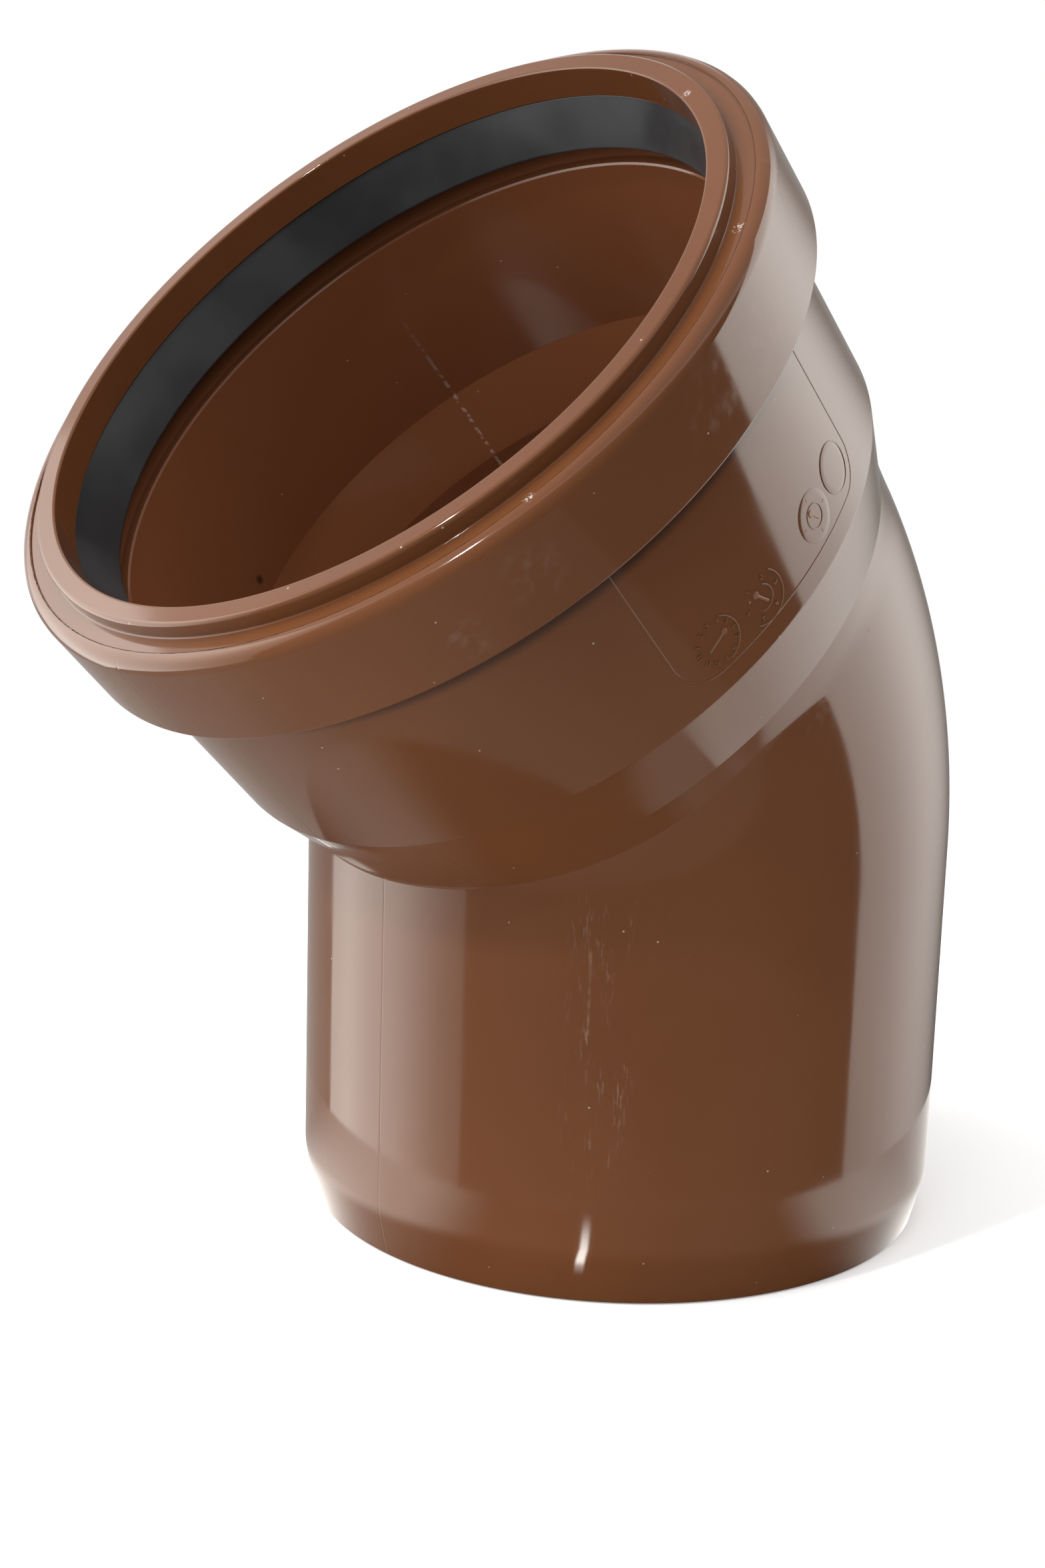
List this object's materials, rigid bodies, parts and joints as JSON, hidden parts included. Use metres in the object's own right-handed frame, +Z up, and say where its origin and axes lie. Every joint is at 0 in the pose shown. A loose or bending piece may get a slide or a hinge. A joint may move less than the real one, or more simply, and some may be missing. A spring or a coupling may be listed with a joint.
{
  "type": "sewer pipe bend",
  "caption": "Forty-five degree underground drain pipe bend with a plain chamfered spigot at one end and a push-fit socket with a rubber lip seal at the other.",
  "frame": {"origin": "centre of the spigot's end face, which is what the bend stands on", "axes": "+Z up along the spigot's axis into the bend; the socket leans over towards +X in the XZ plane, 45 degrees off +Z; Y is across the bend"},
  "size_m": [0.1593, 0.1294, 0.1922],
  "materials": {
    "body": "orange-brown unplasticised PVC, glossy from the mould, with fine rub marks and dust",
    "seal": "black moulded rubber with a faint blue-grey sheen"
  },
  "bodies": {
    "root": {"bend_body": "body", "sealing_ring": "seal"}
  },
  "joints": []
}
